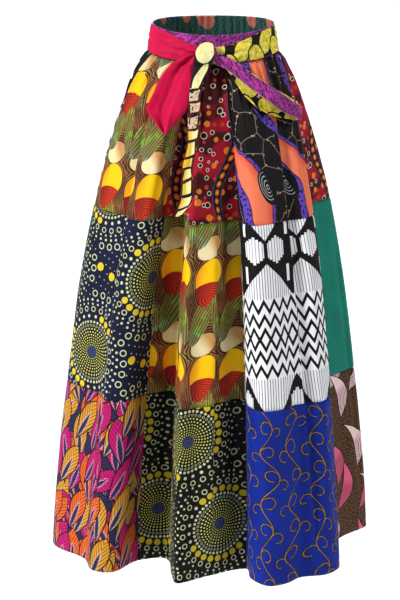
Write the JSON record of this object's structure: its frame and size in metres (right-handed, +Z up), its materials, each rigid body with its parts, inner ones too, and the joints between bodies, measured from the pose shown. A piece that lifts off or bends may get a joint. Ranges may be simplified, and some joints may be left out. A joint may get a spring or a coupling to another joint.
{
  "type": "high-waisted skirt",
  "caption": "High-waisted patchwork maxi skirt with an elasticated back waistband and a front sash tied in a half bow.",
  "frame": {"origin": "centre of the waist, half way up the waistband", "axes": "+Z up along the wearer, -Y to the front, +X to the viewer's right from the front"},
  "size_m": [0.6486, 0.5503, 1.0493],
  "materials": {
    "petal": "cotton wax print, yellow petals on tan",
    "burst_navy": "cotton wax print, dotted bursts on navy",
    "leaf": "cotton wax print, magenta and orange leaves",
    "crimson": "cotton wax print, orange discs and rings on crimson",
    "burst_black": "cotton wax print, dotted bursts on black",
    "web": "cotton wax print, pale branches and coral crescents on black",
    "zigzag": "cotton print, black zigzags and diamonds on white",
    "scroll": "cotton wax print, beaded scrolls on cobalt",
    "teal": "cotton print, fine diagonal stripes on teal",
    "feather": "cotton wax print, pink petals on brown",
    "forest": "gathered cotton print over elastic",
    "orchid": "cotton print, mottled magenta",
    "shell": "cotton wax print, yellow petals outlined in black",
    "pink": "plain cotton, hot pink"
  },
  "bodies": {
    "root": {"panel_a_top": "petal", "panel_b_top": "crimson", "panel_c_top": "web", "panel_d_top": "crimson", "panel_e_top": "burst_navy", "panel_f_top": "teal", "panel_g_top": "scroll", "panel_h_top": "zigzag", "panel_a_mid": "burst_navy", "panel_b_mid": "petal", "panel_c_mid": "zigzag", "panel_d_mid": "teal", "panel_e_mid": "leaf", "panel_f_mid": "crimson", "panel_g_mid": "feather", "panel_h_mid": "teal", "panel_a_low": "leaf", "panel_b_low": "burst_black", "panel_c_low": "scroll", "panel_d_low": "feather", "panel_e_low": "petal", "panel_f_low": "zigzag", "panel_g_low": "burst_navy", "panel_h_low": "crimson", "waistband_front": "orchid", "waistband_back": "forest", "sash_left": "pink", "sash_right": "shell", "bow_knot": "orchid", "tail_short": "pink", "tail_long": "shell", "bow_loop": "orchid"}
  },
  "joints": []
}
